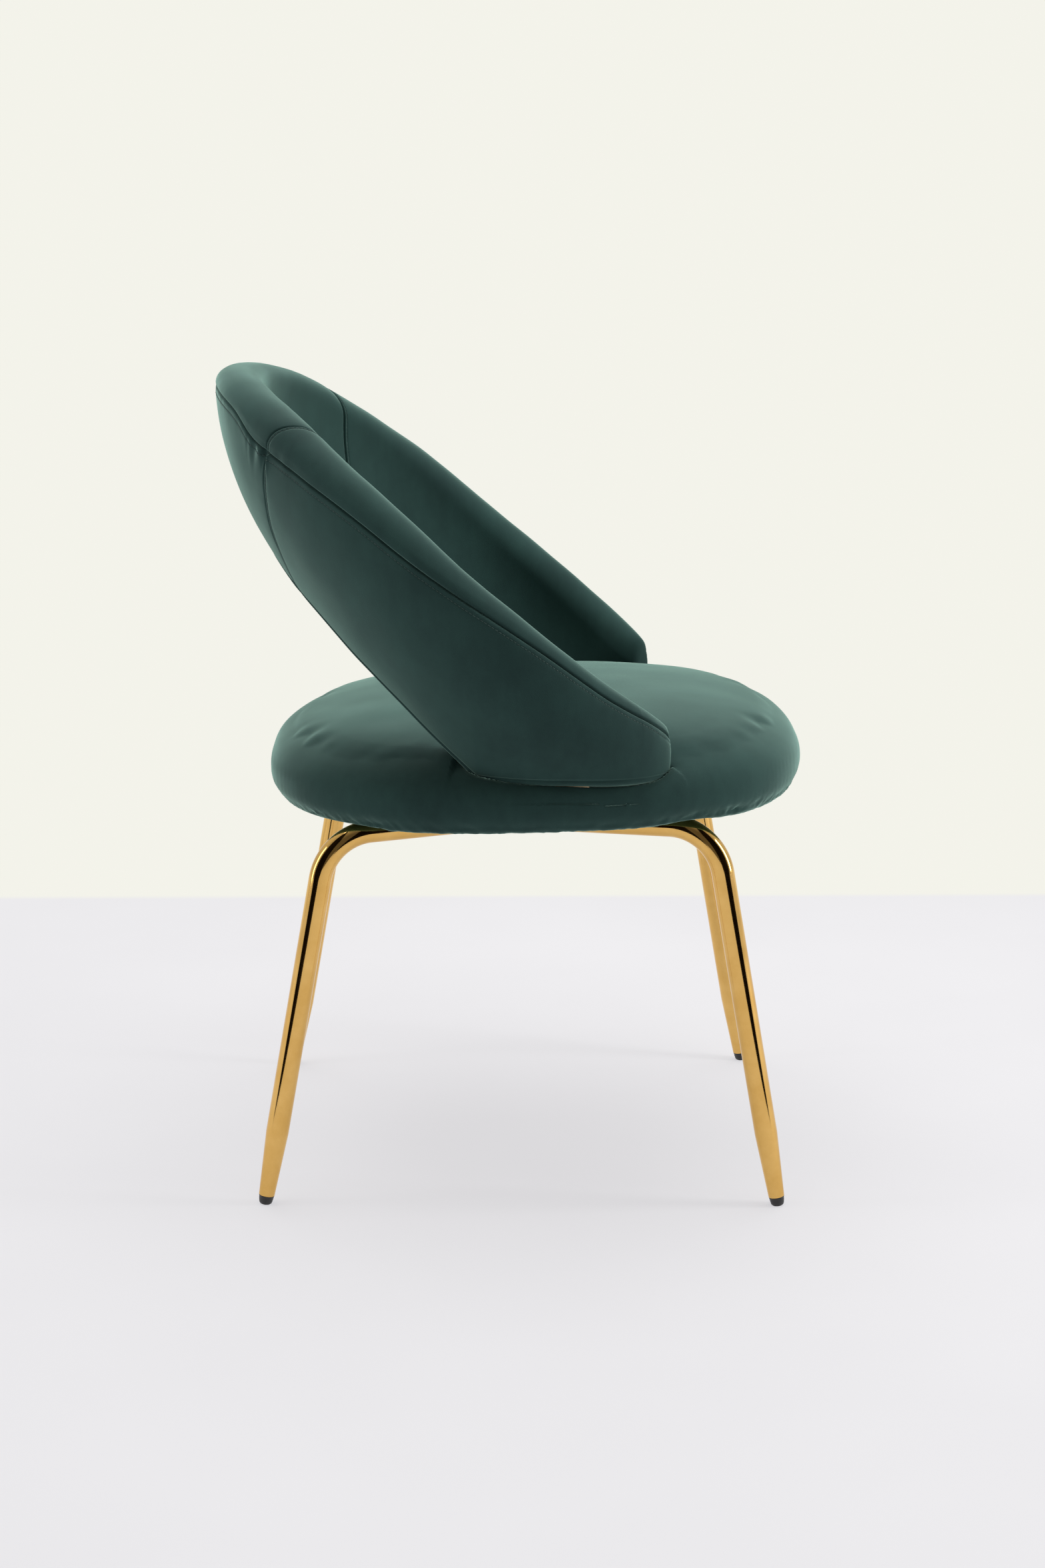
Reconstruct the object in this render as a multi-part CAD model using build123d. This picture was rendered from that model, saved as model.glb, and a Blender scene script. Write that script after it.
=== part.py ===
from build123d import *
import os
from math import atan2, cos, degrees, hypot, pi, radians, sin, tan

# Dining chair with a round seat, an open wrap-round back and four bent tube legs.
# Millimetres. +Z is up and the sitter faces -Y; the floor is Z = 0.
# Everything is drawn about the point midway between the four feet.

# ---- seat cushion -----------------------------------------------------------
SEAT_HALF_W = 251.0        # half width at the widest line
SEAT_HALF_D = 267.0
SEAT_Y = -15.4             # cushion centre, a little forward of the feet
SEAT_Z = 406.0             # height of the widest line
SEAT_RISE = 64.0           # crown above the widest line
SEAT_DROP = 21.0           # underside below the widest line
SEAT_PLAN_POWER = 2.6
SEAT_CROWN_POWER = 2.6
SEAT_TILT = 1.4            # degrees, front edge higher
BOARD = 12.0               # plywood
BOARD_INSET = 24.0         # board edge inside the widest line
COVER = 1.4                # velvet with its backing
GAP = 0.3                  # clearance between soft layers and their neighbours
FOAM_FIT = 0.998           # foam drawn a little smaller than the inside of its cover
TURN_IN = 34.0             # width of cover folded under the board
DUST = 0.5

# ---- back band --------------------------------------------------------------
BACK_HALF_W = 292.0        # outer seam, plan
BACK_Y = 30.0              # widest line of the back
BACK_REAR = 267.5          # widest line to the rear of the seam
BACK_FRONT = 265.0
BACK_CORNER_TRIM = 0.10    # softens the rear corners of the plan curve
BACK_SWEEP = 132.0         # degrees from the rear middle to each arm front
SEAM_Z = 564.0             # outer seam height at Y = 0
SEAM_SLOPE = 0.768         # rise of the seam towards the rear
EDGE_Z = 385.0             # lower edge height at Y = 0
EDGE_SLOPE = 0.95
SINK_Z = 425.0             # the band's underside where it sinks into the seat
ROLL_REAR = 17.0           # roll height above the seam
ROLL_SIDE = 29.0
THICK_REAR = 48.0
THICK_FRONT = 38.0
THICK_LOW = 24.0           # thickness at the lower edge
BELLY_POWER = 1.9          # curve of the outer face
SHELL = 12.0               # bent plywood
SHELL_IN = 7.0             # padding outside the plywood
CORNER_SEAM = 0.31         # upright seams, fraction of the sweep
TAB_FROM = 0.70            # plywood tabs that stand on the seat board
TAB_TO = 0.86

# ---- legs -------------------------------------------------------------------
TUBE = 22.0
WALL = 1.5
TUBE_END = 15.5            # diameter at the foot
TAPER = 65.0
BEND = 52.0
FOOT_X_FRONT = 215.0
FOOT_X_REAR = 206.0
FOOT_Y = 250.0
KNEE_X_FRONT = 204.0       # where leg and arm centre lines would meet
KNEE_X_REAR = 196.0
KNEE_Y = 184.0
ARM_IN = 17.0              # degrees, arms turn in under the seat
ARM = 172.0
BOLT_AT = (78.0, 142.0)    # along the arm from the knee
CAP_LIFT = 9.5             # tube end above the floor

M6 = 6.0
SLIP = 0.25                # radial clearance of a bolt in its hole

LEGS = {
    "front_left": (1, -1, FOOT_X_FRONT, KNEE_X_FRONT),
    "front_right": (-1, -1, FOOT_X_FRONT, KNEE_X_FRONT),
    "rear_left": (1, 1, FOOT_X_REAR, KNEE_X_REAR),
    "rear_right": (-1, 1, FOOT_X_REAR, KNEE_X_REAR),
}


BASE = (Align.CENTER, Align.CENTER, Align.MIN)


def lerp(a, b, f):
    return a + (b - a) * f


def even_spline(points, closed=False):
    """Smooth curve through points, with the same knots for any run of that many points."""
    spans = len(points) if closed else len(points) - 1
    knots = [i / spans for i in range(spans + 1)]
    return Edge.make_spline([Vector(*p) for p in points], periodic=closed, parameters=knots)


def ease(value, start, stop):
    f = min(1.0, max(0.0, (value - start) / (stop - start)))
    return f * f * (3 - 2 * f)


# ---- seat -------------------------------------------------------------------
SEAT_SPOT = Pos(0, SEAT_Y, SEAT_Z) * Rot(-SEAT_TILT, 0, 0)


def oval(q_w, q_d, z, count=44):
    """Closed rounded-square outline in the seat's own frame."""
    points = []
    for i in range(count):
        a = 2 * pi * i / count
        c, s = cos(a), sin(a)
        x = q_w * abs(c) ** (2 / SEAT_PLAN_POWER) * (1 if c >= 0 else -1)
        y = q_d * abs(s) ** (2 / SEAT_PLAN_POWER) * (1 if s >= 0 else -1)
        points.append((x, y, z))
    return Face(Wire([even_spline(points, closed=True)]))


def cushion(inset, floor):
    """Cushion body, its skin moved in by inset and its flat underside at floor."""
    half_w, half_d = SEAT_HALF_W - inset, SEAT_HALF_D - inset
    rise, drop = SEAT_RISE - inset, -floor
    levels = []
    for a in (90, 62, 38, 18, 0):
        pull = (SEAT_DROP - 1) * (1 - cos(radians(a)))
        levels.append((half_w - pull, half_d - pull, -drop * sin(radians(a))))
    for q in (0.985, 0.95, 0.89, 0.80, 0.68, 0.54, 0.40, 0.25):
        z = rise * (1 - q ** SEAT_CROWN_POWER) ** (1 / SEAT_CROWN_POWER)
        levels.append((half_w * q, half_d * q, z))
    return loft([oval(*level) for level in levels])


def plate(inset, low, high):
    """Flat plate with the seat's outline."""
    base = oval(SEAT_HALF_W - inset, SEAT_HALF_D - inset, low)
    return extrude(base, amount=high - low, dir=(0, 0, 1))


def upright_peg(x, y, low, high, radius):
    """Cylinder square to the seat board, centred on x, y of the chair."""
    body = extrude(Plane.XY.offset(low) * Circle(radius), amount=high - low)
    return SEAT_SPOT * Pos(x, y - SEAT_Y, 0) * body


# ---- back band --------------------------------------------------------------
def seam_plan(t):
    a = radians(t * BACK_SWEEP)
    s, c = sin(a), cos(a)
    reach = BACK_REAR * (1 - BACK_CORNER_TRIM * s * s) if c > 0 else BACK_FRONT
    return BACK_HALF_W * s, BACK_Y + reach * c


def outward(t):
    (x0, y0), (x1, y1) = seam_plan(t - 0.001), seam_plan(t + 0.001)
    run = hypot(x1 - x0, y1 - y0)
    return (y0 - y1) / run, (x1 - x0) / run


class Station:
    """One upright slice of the band at sweep fraction t."""

    def __init__(self, t):
        self.t = t
        side = abs(t)
        self.x, self.y = seam_plan(t)
        self.nx, self.ny = outward(t)
        self.z = SEAM_Z + SEAM_SLOPE * self.y - 0.002 * max(0, self.y - 210) ** 2
        self.lean = lerp(0.333, 0.42, ease(side, 0.1, 0.6)) - 0.32 * ease(side, 0.8, 1)
        nose = max(0.0, (side - 0.93) / 0.07)
        round_off = (1 - 0.75 * nose * nose) ** 0.5
        self.roll = lerp(ROLL_REAR, ROLL_SIDE, ease(side, 0.15, 0.6)) * lerp(0.8, 1, round_off)
        self.thick = lerp(THICK_REAR, THICK_FRONT, ease(side, 0.5, 0.95)) * round_off
        self.low = THICK_LOW * round_off
        self.shift = -(1 - round_off) * 16
        self.height = self.z - SINK_Z
        for _ in range(40):
            edge_y = self.y - self.ny * self.lean * self.height
            self.height = self.z - max(SINK_Z, EDGE_Z + EDGE_SLOPE * edge_y)

    def at(self, u, w):
        """u outward from the outer seam, w up from it."""
        u += self.shift
        return (self.x + self.nx * u, self.y + self.ny * u, self.z + w)

    def face_u(self, s):
        return -self.lean * self.height * s ** BELLY_POWER

    def stop(self):
        """Where the flat faces end and the rounded lower edge begins."""
        return 1 - 8 / self.height

    def outside(self, inset, s0, s1, count=7):
        steps = [lerp(s0, s1, i / (count - 1)) for i in range(count)]
        return [self.at(self.face_u(s) - inset, -self.height * s) for s in steps]

    def inside(self, inset, s0, s1, count=7):
        steps = [lerp(s0, s1, i / (count - 1)) for i in range(count)]
        return [
            self.at(self.face_u(s) - lerp(self.thick, self.low, s) + inset, -self.height * s)
            for s in steps
        ]

    def crown(self, inset, count=9):
        half = self.thick / 2
        arc = [pi * i / (count - 1) for i in range(count)]
        return [
            self.at(-half + (half - inset) * cos(a), (self.roll - inset) * sin(a))
            for a in arc
        ]

    def keel(self, inset):
        """Rounded lower edge, from the inner face to the outer face."""
        s = self.stop()
        outer = self.face_u(s)
        inner = outer - lerp(self.thick, self.low, s)
        middle = (self.face_u(1) * 2 - self.low + inner + outer) / 4
        half = (outer - inner) / 2
        points = []
        for i in range(7):
            a = pi * i / 6
            u = lerp(middle, (outer + inner) / 2, abs(cos(a))) - (half - inset) * cos(a)
            points.append(self.at(u, -self.height + 8 - (8 - inset) * sin(a)))
        return points


def ring(*runs):
    """Face bounded by splines and straight edges that meet end to end."""
    edges = []
    for run in runs:
        edges.append(Line(*run) if len(run) == 2 else even_spline(run))
    return Face(Wire(edges))


def wrap_runs(p, inset):
    """Over the roll, down the inside and round the lower edge."""
    crown, keel = p.crown(inset), p.keel(inset)
    inner = p.inside(inset, 0, p.stop())
    inner[0], inner[-1] = crown[-1], keel[0]
    return [crown, inner, keel]


def body_slice(t, inset):
    p = Station(t)
    crown, inner, keel = wrap_runs(p, inset)
    outer = p.outside(inset, p.stop(), 0)
    outer[0], outer[-1] = keel[-1], crown[0]
    return ring(crown, inner, keel, outer)


def stations(t0, t1):
    """Sweep fractions from t0 to t1, closer together at the arm fronts."""
    half = [i * 0.067 for i in range(14)] + [0.90, 0.925, 0.945, 0.96, 0.972, 0.982, 0.991]
    marks = sorted({-m for m in half} | set(half))
    return [t0] + [m for m in marks if t0 + 0.004 < m < t1 - 0.004] + [t1]


def band(inset, reach=1.0):
    return loft([body_slice(t, inset) for t in stations(-reach, reach)])


def shell_slice(t, grow=0.0):
    """Bent plywood inside the band's padding."""
    p = Station(t)
    top, end = 6 - grow, p.height - 9 + grow
    steps = [lerp(top, end, i / 5) / p.height for i in range(6)]
    outer = [p.at(p.face_u(s) - SHELL_IN + grow, -p.height * s) for s in steps]
    inner = [p.at(p.face_u(s) - SHELL_IN - SHELL - grow, -p.height * s) for s in steps]
    return ring(outer, [outer[-1], inner[-1]], inner[::-1], [inner[0], outer[0]])


def tab_slice(t, level, top, grow=0.0, inward=0.0):
    """Slice of a block in line with the plywood, from a seat level up to height top."""
    p = Station(t)
    u = p.face_u(1 - 9 / p.height) - SHELL_IN
    corners = []
    for reach in (u + grow, u - SHELL - inward - grow):
        x, y, _ = p.at(reach, 0)
        corners.append((x, y, seat_height(x, y, level)))
    for x, y, _ in corners[::-1]:
        corners.append((x, y, top))
    return ring(*[[corners[i], corners[(i + 1) % 4]] for i in range(4)])


def seat_height(x, y, level):
    """Height of a level of the tilted seat frame above a spot on the floor."""
    fall = tan(radians(SEAT_TILT))
    return SEAT_Z + level / cos(radians(SEAT_TILT)) - (y - SEAT_Y) * fall


def along(side, t0, t1, count=5):
    """Evenly spaced sweep fractions on one side, always increasing."""
    return sorted(side * lerp(t0, t1, i / (count - 1)) for i in range(count))


def outer_zone_slice(t):
    """Slice of the space that holds the outer face panels and nothing else."""
    p = Station(t)
    top, stop = 1.0 / p.height, p.stop()
    near, far = p.outside(COVER + GAP / 2, top, stop), p.outside(-6, stop, top)
    return ring(near, [near[-1], far[0]], far, [far[-1], near[0]])


def beyond_corner(side, kerf):
    """Space forward of one upright seam, on one side of the chair."""
    p = Station(side * CORNER_SEAM)
    forward = (side * p.ny, -side * p.nx, 0)
    frame = Plane(origin=(p.x, p.y, 600), x_dir=(p.nx, p.ny, 0), z_dir=forward)
    return frame * Pos(-75, 0, kerf / 2) * Box(450, 700, 700, align=BASE)


# ---- levels in the seat's own frame -----------------------------------------
UNDERSIDE = -SEAT_DROP
BOARD_LOW = UNDERSIDE + COVER + 0.1
BOARD_TOP = BOARD_LOW + BOARD
DUST_TOP = UNDERSIDE - 0.1
DUST_LOW = DUST_TOP - DUST
ARM_LEVEL = DUST_LOW - GAP - TUBE / 2
WASHER = 1.4
HEAD = 3.6
HEAD_SEAT = ARM_LEVEL + 5.9    # where a leg bolt's head bears, inside the arm
ACCESS = 6.5               # radius of the hole that lets the head into the arm
INNER_REACH = 0.9972       # padding ends a cover's thickness short of the arm front
BRACKET_T = (0.73, 0.83)
BRACKET_UP = 21.0
BRACKET_IN = 34.0
STEEL = 3.0

# ---- legs -------------------------------------------------------------------


class Leg:
    """Centre line of one leg: foot, knee and the arm under the seat."""

    def __init__(self, side, end, foot_x, knee_x):
        self.foot = Vector(side * foot_x, end * FOOT_Y, 0)
        self.knee = Vector(side * knee_x, end * KNEE_Y, 0)
        self.knee += Vector(0, 0, seat_height(0, end * KNEE_Y, ARM_LEVEL))
        self.rise = (self.knee - self.foot).normalized()
        turn = radians(ARM_IN)
        run = Vector(-side * sin(turn), -end * cos(turn), 0)
        self.arm = (run + Vector(0, 0, -run.Y * tan(radians(SEAT_TILT)))).normalized()

    def low(self, distance):
        return self.foot + self.rise * distance

    def path(self, start):
        half_turn = self.rise.get_angle(self.arm) / 2
        cut = BEND * tan(radians(half_turn))
        before = self.knee - self.rise * cut
        after = self.knee + self.arm * cut
        inward = (self.arm - self.rise).normalized()
        centre = self.knee + inward * (BEND / cos(radians(half_turn)))
        bend = ThreePointArc(before, centre - inward * BEND, after)
        return Wire([Line(start, before), bend, Line(after, self.knee + self.arm * ARM)])

    def tube(self, shrink, start, stop_taper):
        """Solid run of the tube, shrunk in radius, with its tapered foot."""
        joint = self.low(stop_taper)
        ring_face = Plane(origin=joint, z_dir=self.rise) * Circle(TUBE / 2 - shrink)
        body = sweep(ring_face, path=self.path(joint))
        small = TUBE_END / 2 - shrink
        foot = Cone(small, TUBE / 2 - shrink, stop_taper - start, align=BASE)
        return body + Plane(origin=self.low(start), z_dir=self.rise) * foot

    def bolt_spots(self):
        spots = [self.knee + self.arm * d for d in BOLT_AT]
        return [(p.X, p.Y) for p in spots]


def make_leg(leg):
    tube = leg.tube(0, CAP_LIFT, CAP_LIFT + TAPER)
    bore = leg.tube(WALL, CAP_LIFT - 0.01, CAP_LIFT + TAPER)
    open_end = Plane(origin=leg.knee + leg.arm * (ARM - 0.5), z_dir=leg.arm)
    leg_body = tube - bore - open_end * Cylinder(TUBE / 2 - WALL, 2, align=BASE)
    for x, y in leg.bolt_spots():
        leg_body -= upright_peg(x, y, ARM_LEVEL, ARM_LEVEL + TUBE, M6 / 2 + SLIP)
        leg_body -= upright_peg(x, y, ARM_LEVEL - TUBE, ARM_LEVEL, ACCESS)
    return leg_body


def make_foot_cap(leg):
    collar = Cone(5.7, TUBE_END / 2 - 0.1, CAP_LIFT + 2.9, align=BASE)
    plug = Cylinder(TUBE_END / 2 - WALL - 0.15, 14, align=BASE)
    rim = Plane(origin=leg.low(-3), z_dir=leg.rise) * collar
    stem = Plane(origin=leg.low(CAP_LIFT - 0.2), z_dir=leg.rise) * plug
    floor = Pos(leg.foot.X, leg.foot.Y, -20) * Box(60, 60, 40)
    cap = rim + stem - floor
    sole = cap.faces().sort_by(Axis.Z)[0]
    return fillet(sole.edges(), 1.1)


def button_bolt(x, y, head_level, tip_level):
    """Bolt pushed up from below; head_level is the underside bearing face."""
    shank = upright_peg(x, y, head_level - 0.5, tip_level, M6 / 2)
    head = upright_peg(x, y, head_level - HEAD, head_level, 5.5)
    socket = extrude(Plane.XY.offset(head_level - HEAD) * RegularPolygon(2.3, 6), amount=2.2)
    return head + shank - SEAT_SPOT * Pos(x, y - SEAT_Y, 0) * socket


def saddle_washer(leg, x, y):
    """Washer inside the arm: flat under the bolt's head, curved above to fit the upper wall."""
    bore = Plane(origin=leg.knee, z_dir=leg.arm) * Cylinder(TUBE / 2 - WALL - 0.02, ARM, align=BASE)
    disc = upright_peg(x, y, HEAD_SEAT, ARM_LEVEL + TUBE, 6)
    return (disc & bore) - upright_peg(x, y, ARM_LEVEL, ARM_LEVEL + TUBE, M6 / 2 + SLIP)


def t_nut(x, y):
    flange = upright_peg(x, y, BOARD_TOP, BOARD_TOP + 1.2, 9)
    barrel = upright_peg(x, y, BOARD_TOP - 9, BOARD_TOP + 0.6, 4)
    return flange + barrel - upright_peg(x, y, BOARD_TOP - 20, BOARD_TOP + 5, M6 / 2 + 0.1)


# ---- brackets between the back and the seat board ---------------------------


def bracket_slice(t):
    p = Station(t)
    u = p.face_u(1 - 9 / p.height) - SHELL_IN - SHELL - GAP
    outline = [
        (0, 0),
        (-BRACKET_IN, 0),
        (-BRACKET_IN, STEEL),
        (-STEEL, STEEL),
        (-STEEL, BRACKET_UP),
        (0, BRACKET_UP),
    ]
    corners = []
    for reach, lift in outline:
        x, y, _ = p.at(u + reach, 0)
        corners.append((x, y, seat_height(x, y, BOARD_TOP + 0.05 + lift)))
    return ring(*[[corners[i], corners[(i + 1) % 6]] for i in range(6)])


def bracket_bolt_spots(side):
    spots = []
    for t in (BRACKET_T[0] + 0.024, BRACKET_T[1] - 0.024):
        p = Station(side * t)
        u = p.face_u(1 - 9 / p.height) - SHELL_IN - SHELL - 21
        spots.append(p.at(u, 0)[:2])
    return spots


def screw_frames(side):
    """Planes on the bracket's upright, facing outward through the plywood."""
    frames = []
    for t in (BRACKET_T[0] + 0.014, BRACKET_T[1] - 0.014):
        p = Station(side * t)
        u = p.face_u(1 - 9 / p.height) - SHELL_IN - SHELL - 3 * GAP - STEEL
        x, y, _ = p.at(u, 0)
        z = seat_height(x, y, BOARD_TOP + 13)
        frames.append(Plane(origin=(x, y, z), z_dir=(p.nx, p.ny, 0)))
    return frames


def make_bracket(side):
    body = loft([bracket_slice(t) for t in along(side, *BRACKET_T)], ruled=True)
    for x, y in bracket_bolt_spots(side):
        hexagon = extrude(Plane.XY.offset(BOARD_TOP + 2) * RegularPolygon(5.6, 6), amount=6)
        body += SEAT_SPOT * Pos(x, y - SEAT_Y, 0) * hexagon
        body -= upright_peg(x, y, BOARD_TOP - 5, BOARD_TOP + 20, M6 / 2 + 0.1)
    for frame in screw_frames(side):
        body -= frame * Pos(0, 0, -6) * Cylinder(2.3, 16, align=BASE)
    return body


def wood_screw(frame):
    head = Pos(0, 0, -2.2) * Cylinder(4, 2.2, align=BASE)
    slot = Pos(0, 0, -2.2) * Box(5, 0.9, 1.6)
    return frame * (head + Pos(0, 0, -0.5) * Cylinder(2, 13, align=BASE) - slot)


def pilot(frame):
    return frame * Cylinder(2.1, 13.5, align=BASE)


# ---- staples that hold the cover and the dust cover -------------------------


def staple_spots(count=28):
    inset = BOARD_INSET + TURN_IN - 9
    spots = []
    for i in range(count):
        a = 2 * pi * (i + 0.5) / count
        c, s = cos(a), sin(a)
        x = (SEAT_HALF_W - inset) * abs(c) ** 0.8 * (1 if c > 0 else -1)
        y = (SEAT_HALF_D - inset) * abs(s) ** 0.8 * (1 if s > 0 else -1)
        if all(hypot(x - bx, y + SEAT_Y - by) > 17 for bx, by in CLEAR_OF):
            spots.append((x, y, degrees(atan2(y, x)) + 90))
    return spots


def staple(x, y, angle, grow=0.0):
    """Crown below the dust cover with two legs driven up into the board."""
    crown = Box(11 + 2 * grow, 1.2 + 2 * grow, 0.7 + grow, align=BASE)
    body = Pos(0, 0, DUST_LOW - 0.75 - grow) * crown
    for end in (-1, 1):
        prong = Box(0.9 + 2 * grow, 1.2 + 2 * grow, 8.5 + 2 * grow, align=BASE)
        body += Pos(end * 5.05, 0, DUST_LOW - 0.75 - grow) * prong
    return SEAT_SPOT * Pos(x, y, 0) * Rot(0, 0, angle) * body


legs = {name: Leg(*spec) for name, spec in LEGS.items()}
leg_spots = [(leg, x, y) for leg in legs.values() for x, y in leg.bolt_spots()]
back_spots = bracket_bolt_spots(1) + bracket_bolt_spots(-1)
arm_steps = [i * 8.0 for i in range(3, 22)]
arm_line = [leg.knee + leg.arm * d for leg in legs.values() for d in arm_steps]
CLEAR_OF = [(p.X, p.Y) for p in arm_line] + back_spots

parts = {}
for name, leg in legs.items():
    parts["leg_" + name] = make_leg(leg)
    parts["foot_cap_" + name] = make_foot_cap(leg)

head_level = HEAD_SEAT - 0.02
parts["leg_bolts"] = [button_bolt(x, y, head_level, BOARD_TOP + 1.0) for _, x, y in leg_spots]
parts["leg_washers"] = [saddle_washer(*spot) for spot in leg_spots]
parts["t_nuts"] = [t_nut(x, y) for _, x, y in leg_spots]

staples = [staple(*spot) for spot in staple_spots()]
staple_pockets = [staple(*spot, grow=0.15) for spot in staple_spots()]
parts["staples"] = staples

# Seat board, dust cover and cover share the same run of holes.
low, high = UNDERSIDE - 3, BOARD_TOP + 3
bolt_holes = [upright_peg(x, y, low, high, 4.2) for _, x, y in leg_spots]
back_holes = [upright_peg(x, y, low, high, M6 / 2 + SLIP) for x, y in back_spots]

board = SEAT_SPOT * plate(BOARD_INSET, BOARD_LOW, BOARD_TOP)
parts["seat_board"] = board - bolt_holes - back_holes - staple_pockets

dust = SEAT_SPOT * plate(BOARD_INSET + TURN_IN - 18, DUST_LOW, DUST_TOP)
parts["dust_cover"] = dust - bolt_holes - back_holes - staple_pockets

band_slot = band(-2 * GAP)
opening = SEAT_SPOT * plate(BOARD_INSET + TURN_IN, UNDERSIDE - 2, BOARD_LOW + 2)
skin = SEAT_SPOT * cushion(0, UNDERSIDE) - SEAT_SPOT * cushion(COVER, UNDERSIDE + COVER)
skin = skin - opening - band_slot
parts["seat_cover"] = skin - bolt_holes - back_holes - staple_pockets

# Blocks of space for the plywood tabs and the brackets beside them.
tab_space = []
tabs = []
bracket_space = []
for side in (1, -1):
    steps = along(side, TAB_FROM, TAB_TO)
    tabs.append(loft([tab_slice(t, BOARD_TOP + 0.05, 438) for t in steps]))
    steps = along(side, TAB_FROM - 0.002, TAB_TO + 0.002)
    tab_space.append(loft([tab_slice(t, BOARD_TOP - 1, 440, grow=GAP) for t in steps]))
    steps = along(side, BRACKET_T[0] - 0.003, BRACKET_T[1] + 0.003)
    room = BRACKET_IN + 1
    bracket_space.append(
        loft([tab_slice(t, BOARD_TOP - 1, 428, grow=GAP, inward=room) for t in steps])
    )

foam = SEAT_SPOT * scale(cushion(COVER, UNDERSIDE + COVER), by=FOAM_FIT)
foam -= SEAT_SPOT * plate(BOARD_INSET - GAP, BOARD_LOW - 2, BOARD_TOP + GAP)
foam = foam - band_slot - tab_space - bracket_space
nut_room = [upright_peg(x, y, BOARD_TOP - 1, BOARD_TOP + 2.5, 9.6) for _, x, y in leg_spots]
parts["seat_foam"] = foam - nut_room

# Back: plywood shell with its tabs, padding, and six velvet panels.
pilots = [pilot(frame) for side in (1, -1) for frame in screw_frames(side)]
shell = loft([shell_slice(t) for t in stations(-0.93, 0.93)])
parts["back_shell"] = shell + tabs - pilots
shell_space = loft([shell_slice(t, grow=GAP) for t in stations(-0.9315, 0.9315)])
padding = band(COVER + GAP, reach=INNER_REACH - 0.0006)
parts["back_foam"] = padding - shell_space - tab_space

outer_zone = loft([outer_zone_slice(t) for t in stations(-INNER_REACH, INNER_REACH)])
skin = band(0) - band(COVER, reach=INNER_REACH)
outer_skin = skin & outer_zone
inner_skin = skin - outer_zone - tab_space
kerf = 0.2
for word, layer in (("outer", outer_skin), ("inner", inner_skin)):
    node = "back_cover_" + word + "_"
    parts[node + "left"] = layer & beyond_corner(1, kerf)
    parts[node + "right"] = mirror(parts[node + "left"], about=Plane.YZ)
    parts[node + "centre"] = layer - beyond_corner(1, -kerf) - beyond_corner(-1, -kerf)
for side, word in ((1, "left"), (-1, "right")):
    parts["back_bracket_" + word] = make_bracket(side)

parts["bracket_screws"] = [wood_screw(f) for side in (1, -1) for f in screw_frames(side)]
washer_low = DUST_LOW - 0.1 - WASHER
parts["back_washers"] = [
    upright_peg(x, y, washer_low, DUST_LOW - 0.1, 8)
    - upright_peg(x, y, washer_low - 1, DUST_LOW, M6 / 2 + SLIP)
    for x, y in back_spots
]
parts["back_bolts"] = [
    button_bolt(x, y, washer_low - 0.02, BOARD_TOP + 9) for x, y in back_spots
]

front = parts["seat_cover"].bounding_box().min.Y
rear = parts["back_cover_inner_centre"].bounding_box().max.Y
rear = max(rear, parts["back_cover_outer_centre"].bounding_box().max.Y)
middle = Pos(0, -(front + rear) / 2, 0)

os.makedirs("parts", exist_ok=True)
for name, shape in parts.items():
    whole = Compound(children=shape) if isinstance(shape, list) else shape
    export_step(middle * whole, "parts/" + name + ".step")
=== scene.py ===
import bpy
import math
import numpy as np
from mathutils import Matrix, Vector, noise


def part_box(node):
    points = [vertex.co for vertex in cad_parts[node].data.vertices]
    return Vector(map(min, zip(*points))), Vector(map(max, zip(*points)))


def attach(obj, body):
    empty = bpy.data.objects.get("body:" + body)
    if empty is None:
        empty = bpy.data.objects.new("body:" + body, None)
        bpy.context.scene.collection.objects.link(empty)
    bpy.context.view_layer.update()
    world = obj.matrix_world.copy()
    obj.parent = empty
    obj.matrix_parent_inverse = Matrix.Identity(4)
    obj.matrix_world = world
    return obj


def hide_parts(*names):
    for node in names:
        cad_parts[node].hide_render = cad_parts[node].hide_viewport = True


# Upholstered dining chair: velvet seat, open wrap-round back, gold tube legs.
# Metres, in the frame's own axes: +Z up, the sitter faces -Y.

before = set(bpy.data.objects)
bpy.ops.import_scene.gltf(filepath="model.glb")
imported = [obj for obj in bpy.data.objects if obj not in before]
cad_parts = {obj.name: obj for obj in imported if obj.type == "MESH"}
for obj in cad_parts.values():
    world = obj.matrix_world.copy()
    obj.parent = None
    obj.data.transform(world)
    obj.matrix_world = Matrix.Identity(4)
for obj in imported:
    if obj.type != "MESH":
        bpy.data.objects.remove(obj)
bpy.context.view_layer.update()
FEET_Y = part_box("back_cover_inner_centre")[1].y - 0.2975    # the feet's middle in this frame
SEAT_Y, SEAT_Z = -0.0154, 0.406     # middle of the seat board's top, in the feet's frame
SEAT_TILT = math.radians(1.4)       # the seat rises a little towards the front


def lerp(a, b, f):
    return a + (b - a) * f


def ease(value, start, stop):
    f = np.clip((value - start) / (stop - start), 0.0, 1.0)
    return f * f * (3 - 2 * f)


def make_object(name, verts, faces, smooth=True):
    mesh = bpy.data.meshes.new(name)
    mesh.from_pydata([tuple(v) for v in verts], [], [tuple(f) for f in faces])
    mesh.validate()
    mesh.update()
    if smooth:
        mesh.polygons.foreach_set("use_smooth", [True] * len(mesh.polygons))
    obj = bpy.data.objects.new(name, mesh)
    bpy.context.scene.collection.objects.link(obj)
    return obj


def coords(obj):
    co = np.empty(len(obj.data.vertices) * 3)
    obj.data.vertices.foreach_get("co", co)
    return co.reshape(-1, 3)


def set_coords(obj, co):
    obj.data.vertices.foreach_set("co", np.ascontiguousarray(co, float).ravel())
    obj.data.update()


def normals(obj):
    obj.data.update()
    no = np.empty(len(obj.data.vertices) * 3)
    obj.data.vertices.foreach_get("normal", no)
    return no.reshape(-1, 3)


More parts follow.
